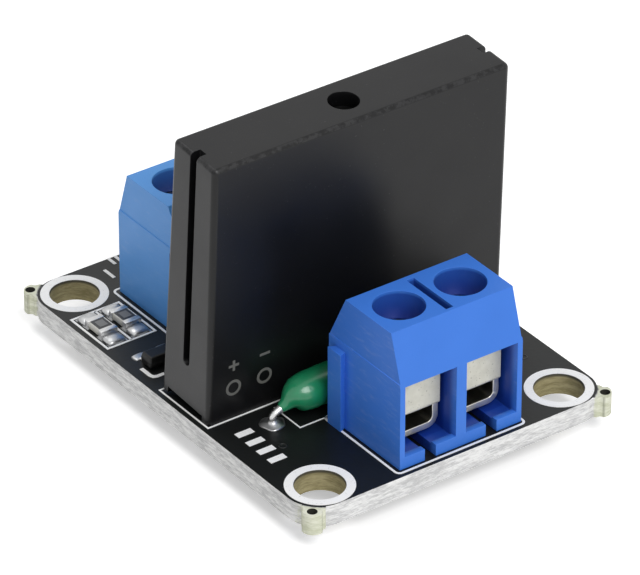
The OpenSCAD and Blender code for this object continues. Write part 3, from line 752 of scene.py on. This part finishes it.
def clamp_screws():
    """The slotted, threaded screw of every way."""
    former = screw_former()
    for node in each("output_screw_") + each("input_screw_"):
        low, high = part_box(node)
        head_r = (high.x - low.x) / 2
        neck = high.z - HEAD_H
        root = SHANK_R - THREAD_DEPTH
        chamfer, point, thread_end = 0.12 * MM, 0.25 * MM, 0.1 * MM
        blank = turned("screw_blank", [
            (root - point, low.z), (root, low.z + 0.3 * MM), (root, neck),
            (head_r - chamfer / 2, neck),
            (head_r, neck + chamfer / 2), (head_r, high.z - chamfer), (head_r - chamfer, high.z)])
        mesh = former.make("screw", blank, SLOT_OF[node], **{
            "Slot width": SLOT_W, "Slot depth": SLOT_DEPTH, "Head top": high.z, "Shank radius": SHANK_R,
            "Thread start": low.z + point, "Thread length": neck - thread_end - low.z - point,
            "Lead": LEAD, "Thread depth": THREAD_DEPTH})
        at = middle(node)
        for vert in mesh.vertices:
            vert.co += Vector((at.x, at.y, 0))
        stand_for(node, mesh, smooth=35)


# ---- solder ----

def joint_former():
    """Sets a solder joint on every point, drawn up in a hollow curve to the pin."""
    former = Former("pin_joints", ["Foot radius", "Tip radius", "Height"])
    height = former.size("Height")
    cone = former.node("MeshCone", {"fill_type": "NGON"}, {
        "Vertices": 28, "Side Segments": 8, "Radius Top": former.size("Tip radius"),
        "Radius Bottom": former.size("Foot radius"), "Depth": height})
    x, y, z = former.parts(former.node("InputPosition"))
    up = former.node("ShaderNodeClamp", {}, {0: z / height})
    draw_in = 1 - up * (1 - up) * 0.9
    hollow = former.node("SetPosition", {}, {
        "Geometry": cone, "Position": former.vector(x * draw_in, y * draw_in, z * -1)})
    joints = former.node("InstanceOnPoints", {}, {"Points": former.inlet_geometry(), "Instance": hollow})
    former.end(joints)
    return former


def pin_joints():
    """The solder joints round every pin under the board."""
    boxes = islands("pin_solder")
    points = bpy.data.meshes.new("joints")
    points.from_pydata([((low.x + high.x) / 2, (low.y + high.y) / 2, high.z) for low, high in boxes],
                       [], [])
    foot = max(high.x - low.x for low, high in boxes) / 2
    mesh = joint_former().make("joints", points, "solder", **{
        "Foot radius": foot, "Tip radius": foot * 0.45, "Height": boxes[0][1].z - boxes[0][0].z})
    shell = bmesh.new()
    shell.from_mesh(mesh)
    stand_for("pin_solder", held(shell, "pin_joints"), smooth=50)


def solder_bead(shell, low, high, steps=9):
    """A bead of solder over a rectangular land, with rounded corners."""
    half, centre = (high - low) / 2, (low + high) / 2
    grid = []
    for i in range(steps + 1):
        row = []
        for j in range(steps + 1):
            u, v = 2 * i / steps - 1, 2 * j / steps - 1
            squeeze = math.sqrt(1 - 0.35 * u * u * v * v)
            rise = max(0.0, 1 - abs(u) ** 2.4) ** 0.5 * max(0.0, 1 - abs(v) ** 2.2) ** 0.5
            row.append(shell.verts.new((centre.x + half.x * u * squeeze, centre.y + half.y * v * squeeze,
                                        low.z + (high.z - low.z) * rise)))
        grid.append(row)
    for i in range(steps):
        for j in range(steps):
            shell.faces.new((grid[i][j], grid[i + 1][j], grid[i + 1][j + 1], grid[i][j + 1]))
    rim = ([grid[k][0] for k in range(steps)] + [grid[steps][k] for k in range(steps)]
           + [grid[steps - k][steps] for k in range(steps)] + [grid[0][steps - k] for k in range(steps)])
    shell.faces.new(list(reversed(rim)))


def lead_collar(shell, low, high, sides=28, steps=7):
    """A collar of solder that spreads from a fuse lead to a slightly uneven foot."""
    size, centre = high - low, (low + high) / 2
    lead_r = 0.36 * MM
    rings = []
    for k in range(steps + 1):
        up = k / steps
        spread = (1 - up) ** 1.8
        radius = size.x / 2 * spread + lead_r * (1 - spread)
        ring = []
        for a in on_circle(sides):
            r = radius * (1 + (1 - up) * 0.06 * math.sin(3 * a + 1) + (1 - up) * 0.05 * math.sin(5 * a))
            ring.append(shell.verts.new((centre.x + r * math.cos(a), centre.y + r * math.sin(a),
                                         low.z + size.z * up)))
        rings.append(ring)
    skin(shell, rings)


def top_joints():
    """Solder beads at the small parts' ends, and collars round the fuse leads."""
    shell = bmesh.new()
    broad, past_end = 1.1 * MM, 0.25 * MM
    for low, high in islands("top_solder"):
        size = high - low
        if abs(size.x - size.y) < 0.01 * MM:
            lead_collar(shell, low, high)
        elif size.x < broad:
            grow = Vector((0.18, 0.2, 0)) * MM
            solder_bead(shell, low - grow, high + grow)
        else:
            grow = Vector((0.2, 0.2, 0)) * MM
            outer_end = low.y > middle("status_light").y
            low.y -= 0 if outer_end else past_end
            high.y += past_end if outer_end else 0
            solder_bead(shell, low - grow, high + grow)
    stand_for("top_solder", held(shell, "top_joints"), smooth=180)


# ---- print and copper on the board ----

class Flat:
    """A thin printed layer, drawn as closed shapes and lines with mitred corners."""

    def __init__(self, thickness, corner, along=Vector((1, 0, 0)), up=Vector((0, 1, 0))):
        self.thickness = thickness
        self.corner, self.along, self.up, self.out = corner, along, up, along.cross(up)
        self.shell = bmesh.new()

    def vert(self, x, y, height):
        """A corner at a place on the layer, at a height above its underside."""
        return self.shell.verts.new(self.corner + self.along * x + self.up * y + self.out * height)

    def block(self, x0, y0, x1, y1):
        """A filled rectangle."""
        skin(self.shell, [[self.vert(x, y, height) for x, y in ((x0, y0), (x1, y0), (x1, y1), (x0, y1))]
                          for height in (0, self.thickness)])

    def line(self, points, width, closed=False):
        """A line of constant width through the points."""
        points = [Vector(p) for p in points]
        count = len(points)
        rings = []
        for k, point in enumerate(points):
            before = points[k - 1] if k or closed else None
            after = points[(k + 1) % count] if k < count - 1 or closed else None
            ways = [(b - a).normalized() for a, b in ((before, point), (point, after)) if a and b]
            along = sum(ways, Vector((0, 0))).normalized()
            across = Vector((-along.y, along.x))
            reach = width / 2 / max(0.4, across.dot(Vector((-ways[0].y, ways[0].x))))
            left, right = point + across * reach, point - across * reach
            rings.append([self.vert(edge.x, edge.y, height) for edge, height in (
                (left, self.thickness), (left, 0), (right, 0), (right, self.thickness))])
        skin(self.shell, rings, closed)

    def ring(self, centre, inner, outer, sides=64):
        """A flat ring between two radii."""
        r = (inner + outer) / 2
        self.line([(centre[0] + r * math.cos(a), centre[1] + r * math.sin(a)) for a in on_circle(sides)],
                  outer - inner, closed=True)

    def frame(self, x0, y0, x1, y1, width, corner=0.0):
        """A closed rectangle, with rounded corners if a corner radius is given."""
        points = []
        for x, y, quarter in ((x1, y0, 3), (x1, y1, 0), (x0, y1, 1), (x0, y0, 2)):
            inner_x, inner_y = x + (corner if x == x0 else -corner), y + (corner if y == y0 else -corner)
            turn = [math.pi / 2 * (quarter + k / 4) for k in range(5)] if corner else [0]
            points += [(inner_x + corner * math.cos(a), inner_y + corner * math.sin(a)) for a in turn]
        self.line(points, width, closed=True)

    def mesh(self, name):
        """The finished layer; nothing more can be drawn on it."""
        return held(self.shell, name)


PRINT_T = 0.03 * MM
LINE_W = 0.17 * MM
RELAY_PRINT_FRONT = -4.75 * MM
RELAY_PRINT_BACK = 1.0 * MM
CHIP_BOX = Vector((0.99, 2.25, 0)) * MM
BAR_X = -HOLE_X - 0.5 * MM
BAR_START = -HOLE_Y + 4.2 * MM
BAR_PITCH = 1.25 * MM


def print_rings(ink):
    """A broad white ring round each mounting hole."""
    margin = 0.02 * MM
    for x in (-HOLE_X, HOLE_X):
        for y in (-HOLE_Y, HOLE_Y):
            ink.ring((x, y), HOLE_R + margin, RING_R - margin)


def print_terminal(ink, side, wire_way):
    """Outline round a terminal: close beside it, a little further off at its wire face."""
    low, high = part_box(side + "_terminal_housing")
    tongue = 0.55 * MM
    past_left, past_right, behind, before = 0.4 * MM, 0.16 * MM, 0.1 * MM, 0.3 * MM
    x0 = low.x - past_left + (tongue if side == "output" else 0)
    x1 = high.x + past_right - (tongue if side == "input" else 0)
    back = (high.y if wire_way < 0 else low.y) - wire_way * behind
    front = (low.y if wire_way < 0 else high.y) + wire_way * before
    ink.frame(x0, min(back, front), x1, max(back, front), LINE_W, corner=0.35 * MM)


def print_outlines(ink):
    """Outlines of the relay, the fuse, the chip parts and the light."""
    low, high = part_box("relay_case")
    clear = 0.05 * MM
    ink.frame(low.x - clear, RELAY_PRINT_FRONT, high.x + clear, RELAY_PRINT_BACK, LINE_W * 0.75)

    low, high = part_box("fuse_body")
    short, beside = 0.67 * MM, 0.09 * MM
    ink.frame(low.x + short, low.y - beside, high.x - short, high.y + beside, LINE_W * 0.6)

    places = [middle(node) for node in each("chip_resistor_")]
    left, right = min(p.x for p in places) - CHIP_BOX.x, max(p.x for p in places) + CHIP_BOX.x
    low, high = places[0].y - CHIP_BOX.y, places[0].y + CHIP_BOX.y
    divide = (left + right) / 2
    ink.frame(left, low, right, high, LINE_W)
    ink.line([(divide, low), (divide, high)], LINE_W)
    light = middle("status_light")
    left, right, bar = light.x - CHIP_BOX.x, light.x + CHIP_BOX.x, high - 0.5 * MM
    ink.frame(left, low, right, high, LINE_W)
    ink.line([(left, bar), (right, bar)], LINE_W)


def print_transistor(ink):
    """A thick rounded bracket round the transistor, open towards its pair of leads."""
    at = middle("transistor_body")
    side, front, back = 1.72 * MM, at.y - 1.32 * MM, at.y + 0.1 * MM
    arm, width = 0.95 * MM, 0.3 * MM
    for way in (-1, 1):
        x = at.x + way * side
        turn = [(x - way * r * MM, front + d * MM) for r, d in ((0, 0.35), (0.1, 0.1), (0.35, 0))]
        ink.line([(x, back), *turn, (x - way * arm, front)], width)


def print_signs(ink):
    """Bars, a minus and a plus behind the input ways, and four bars beside the output terminal."""
    arm = 0.45 * MM
    y = (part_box("input_terminal_housing")[1].y + BOARD[1].y) / 2 + 0.5 * MM
    signal, minus, plus = [middle(node).x for node in each("input_screw_")]
    corner = signal - 1.87 * MM
    ink.line([(corner, y + 0.25 * MM), (corner, y - 1.0 * MM)], 0.25 * MM)
    for x in (signal - 0.8 * MM, signal - 0.25 * MM, signal + 0.3 * MM):
        ink.line([(x, y + 0.45 * MM), (x, y + 1.35 * MM)], 0.24 * MM)
    for x in (minus, plus):
        ink.line([(x - arm, y), (x + arm, y)], LINE_W)
    for way in (-1, 1):
        ink.line([(plus, y + way * LINE_W / 2), (plus, y + way * arm)], LINE_W)
    for k in range(4):
        bar, half = BAR_START + k * BAR_PITCH, 0.65 * MM
        ink.line([(BAR_X - half, bar), (BAR_X + half, bar)], 0.55 * MM)


def print_board():
    """All the white print on the board's top, as one layer."""
    ink = Flat(PRINT_T, Vector((0, 0, TOP)))
    print_rings(ink)
    print_terminal(ink, "output", -1)
    print_terminal(ink, "input", 1)
    print_outlines(ink)
    print_transistor(ink)
    print_signs(ink)
    add_piece("board_print", ink.mesh("board_print"), "white_print")


def relay_signs():
    """Plain grey signs on the relay's front: a ring for each pin, plus, minus, and waves for the load."""
    case = frame["nodes"]["relay_case"].data
    face = max((f for f in case.polygons if f.normal.y < -0.9), key=lambda f: f.area)
    along = Vector((1, 0, 0))
    up = face.normal.cross(along).normalized()
    foot = face.center - up * ((face.center.z - TOP) / up.z)
    ink = Flat(0.012 * MM, Vector((0, foot.y, foot.z)), along, up)
    arm, width = 0.42 * MM, 0.2 * MM
    ring_height, sign_height = 2.5 * MM, 4.3 * MM
    pins = [middle(node).x for node in each("relay_pin_")]
    for x in pins:
        ink.ring((x, ring_height), 0.42 * MM, 0.62 * MM, 32)
    for x in pins[:2]:
        ink.line([(x - arm, sign_height), (x + arm, sign_height)], width)
    for way in (-1, 1):
        ink.line([(pins[0], sign_height + way * width / 2), (pins[0], sign_height + way * arm)], width)
    for x in pins[2:]:
        ink.line([(x + arm * (k / 6 - 1), sign_height + arm * 0.4 * math.sin(math.pi * k / 6))
                  for k in range(13)], width)
    add_piece("relay_signs", ink.mesh("relay_signs"), "grey_print")


def chip_overcoats():
    """The dark glaze on the top of each chip resistor, with its greyer middle."""
    glaze_t, trim_t = 0.03 * MM, 0.012 * MM
    for number, node in enumerate(each("chip_resistor_"), 1):
        low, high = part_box(node)
        at = middle(node)
        half_w, half_l = (high.x - low.x) / 2 - 0.1 * MM, 0.6 * MM
        glaze = Flat(glaze_t, Vector((at.x, at.y, high.z)))
        glaze.block(-half_w, -half_l, half_w, half_l)
        trim = Flat(trim_t, Vector((at.x, at.y, high.z + glaze_t)))
        trim_w, trim_l = half_w - 0.2 * MM, half_l - 0.22 * MM
        trim.block(-trim_w, -trim_l, trim_w, trim_l)
        add_piece(f"chip_trim_{number}", trim.mesh("trim"), "chip_trim")
        add_piece(f"chip_overcoat_{number}", glaze.mesh("glaze"), "chip_overcoat")


def solder_lands():
    """Tinned lands under the chip parts, and the ring round every pin below the board."""
    land_t = 0.02 * MM
    tin = Flat(land_t, Vector((0, 0, TOP)))
    past_end, under, beside = 1.05 * MM, 0.5 * MM, 0.12 * MM
    for node in each("chip_caps_") + ["status_light_caps"]:
        low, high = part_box(node)
        for y0, y1 in ((low.y - past_end, low.y + under), (high.y - under, high.y + past_end)):
            tin.block(low.x - beside, y0, high.x + beside, y1)
    add_piece("solder_lands", tin.mesh("solder_lands"), "solder")

    below = Flat(land_t, Vector((0, 0, BOARD[0].z - land_t)))
    for low, high in islands("pin_solder"):
        centre, radius = (low + high) / 2, (high.x - low.x) / 2
        below.ring((centre.x, centre.y), radius - 0.15 * MM, radius + 0.1 * MM, 40)
    add_piece("pin_lands", below.mesh("pin_lands"), "solder")


def copper_tracks():
    """Broad and narrow tracks under the mask on the underside, joining the pins."""
    copper_t = 0.035 * MM
    copper = Flat(copper_t, Vector((0, 0, BOARD[0].z - copper_t)))
    relay_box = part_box("relay_case")
    output_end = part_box("output_terminal_housing")[1].y - 0.1 * MM
    input_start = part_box("input_terminal_housing")[0].y
    pins = sorted(((low + high) / 2 for low, high in islands("pin_solder")), key=lambda pin: pin.x)
    relay = [pin for pin in pins if relay_box[0].y < pin.y < relay_box[1].y]
    output = [pin for pin in pins if pin.y < output_end]
    inputs = [pin for pin in pins if pin.y > input_start]
    fuse = [pin for pin in pins if pin not in relay + output + inputs]

    def track(width, *points):
        copper.line([(p.x, p.y) if isinstance(p, Vector) else p for p in points], width)

    broad, narrow = 2.4 * MM, 0.5 * MM
    track(broad, relay[-1], (relay[-1].x, output[-1].y + 1.5 * MM), output[-1])
    track(broad, relay[-2], (fuse[-1].x + 2 * MM, fuse[-1].y), fuse[-1])
    track(broad, fuse[0], (fuse[0].x, output[0].y), output[0])
    track(narrow, relay[0], (relay[0].x, inputs[0].y - 2 * MM), inputs[0])
    track(narrow, relay[1], (inputs[1].x - 2 * MM, inputs[1].y - 1.5 * MM), inputs[1])
    track(narrow, inputs[2], (inputs[2].x + 2 * MM, inputs[2].y + 3 * MM))
    add_piece("copper_tracks", copper.mesh("copper_tracks"), "mask_over_copper")


def via_former():
    """Sets a small tented ring on every point, for the holes that join the two copper sides."""
    former = Former("vias", ["Radius", "Wall"])
    path = former.node("CurvePrimitiveCircle", {"mode": "RADIUS"},
                       {"Resolution": 16, "Radius": former.size("Radius")})
    bead = former.node("CurvePrimitiveCircle", {"mode": "RADIUS"},
                       {"Resolution": 6, "Radius": former.size("Wall")})
    ring = former.node("CurveToMesh", {}, {"Curve": path, "Profile Curve": bead})
    former.end(former.node("InstanceOnPoints", {}, {"Points": former.inlet_geometry(), "Instance": ring}))
    return former


def vias():
    """Stitching holes beside the relay and the light, on both faces of the board."""
    spots = [(-6.9, 12.6), (9.85, 5.9), (9.3, 4.2), (-9.1, 1.9),
             (8.9, -9.2), (8.9, -11.0), (10.4, -10.1), (-9.3, -9.4)]
    former = via_former()
    for face, z in (("top", TOP), ("under", BOARD[0].z)):
        points = bpy.data.meshes.new("vias")
        points.from_pydata([(x * MM, y * MM, z) for x, y in spots], [], [])
        mesh = former.make("vias", points, "mask_over_copper", Radius=0.26 * MM, Wall=0.035 * MM)
        add_piece("vias_" + face, mesh, "mask_over_copper", smooth=180)


# ---- light, floor and camera ----

SKY = 0.42
FLOOR_GLOW = 0.45


def studio():
    """A pale floor that is white to the camera but keeps its shadow, and two soft lamps."""
    low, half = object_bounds()[0].z, 3.0
    floor_mesh = bpy.data.meshes.new("floor")
    floor_mesh.from_pydata([(-half, -half, low), (half, -half, low), (half, half, low), (-half, half, low)],
                           [], [(0, 1, 2, 3)])
    floor = bpy.data.objects.new("floor", floor_mesh)
    bpy.context.scene.collection.objects.link(floor)
    floor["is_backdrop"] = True
    paper = Finish("floor_paper")
    floor_mesh.materials.append(paper.surface(
        base_color=(0.9, 0.9, 0.9), roughness=0.9, specular_ior_level=0.0,
        emission_color=(1, 1, 1), emission_strength=seen_directly(paper) * FLOOR_GLOW))

    world = bpy.data.worlds.new("studio")
    bpy.context.scene.world = world
    world.use_nodes = True
    sky = Graph(world.node_tree)
    backdrop = world.node_tree.nodes["Background"]
    sky.feed(backdrop.inputs["Color"], (1, 1, 1))
    sky.feed(backdrop.inputs["Strength"], SKY + seen_directly(sky) * (1 - SKY))

    lamp("key_light", (-0.04, -0.40, 0.42), 0.35, 1.95)
    lamp("top_light", (-0.05, 0.20, 0.50), 0.30, 0.5)


def seen_directly(graph):
    """1 for what the camera sees straight, in a reflection or through glass, else 0."""
    rays = graph.node("ShaderNodeLightPath").socket.node
    camera_ray, glossy_ray, glass_ray = (Value(graph, rays.outputs[name]) for name in (
        "Is Camera Ray", "Is Glossy Ray", "Is Transmission Ray"))
    return 1 - (1 - camera_ray) * (1 - glossy_ray) * (1 - glass_ray)


def lamp(name, place, size, power):
    """A round soft lamp that faces the board."""
    light = bpy.data.lights.new(name, "AREA")
    light.shape = "DISK"
    light.size = size
    light.energy = power
    holder = bpy.data.objects.new(name, light)
    holder.location = place
    holder.rotation_euler = (-Vector(place)).to_track_quat("-Z", "Y").to_euler()
    bpy.context.scene.collection.objects.link(holder)


def camera():
    """Looks at the middle of the board from the front left, from above, with a long lens."""
    eye = bpy.data.cameras.new("camera")
    eye.lens = 323.5
    eye.sensor_width = 36
    eye.clip_start = 0.01
    holder = bpy.data.objects.new("camera", eye)
    bpy.context.scene.collection.objects.link(holder)
    bpy.context.scene.camera = holder
    aim = Vector((-3.10, -5.04, 9.60)) * MM
    turn, rise, distance = math.radians(-35.79), math.radians(32.23), 386 * MM
    away = Vector((math.sin(turn) * math.cos(rise), -math.cos(turn) * math.cos(rise), math.sin(rise)))
    holder.location = aim + away * distance
    holder.rotation_euler = (-away).to_track_quat("-Z", "Y").to_euler()


# ---- the whole board ----

for node, thing in frame["nodes"].items():
    thing.data.materials.clear()
    thing.data.materials.append(MATERIALS[FINISH_OF[node]])

for housing in ("output_terminal_housing", "input_terminal_housing"):
    soften(housing, 0.08 * MM)
soften("relay_case", 0.1 * MM, angle=50)
soften("transistor_body", 0.12 * MM, angle=20, segments=3)
for part in each("chip_resistor_") + each("chip_caps_") + ["status_light", "status_light_caps"]:
    soften(part, 0.06 * MM)
for part in each("output_contact_") + each("input_contact_") + each("output_clamp_") + each("input_clamp_"):
    soften(part, 0.05 * MM)
soften("transistor_leads", 0.04 * MM)
fuse_drop()
clamp_screws()
pin_joints()
top_joints()
print_board()
relay_signs()
solder_lands()
copper_tracks()
vias()
chip_overcoats()
studio()
camera()
bpy.context.scene.view_settings.view_transform = "Standard"
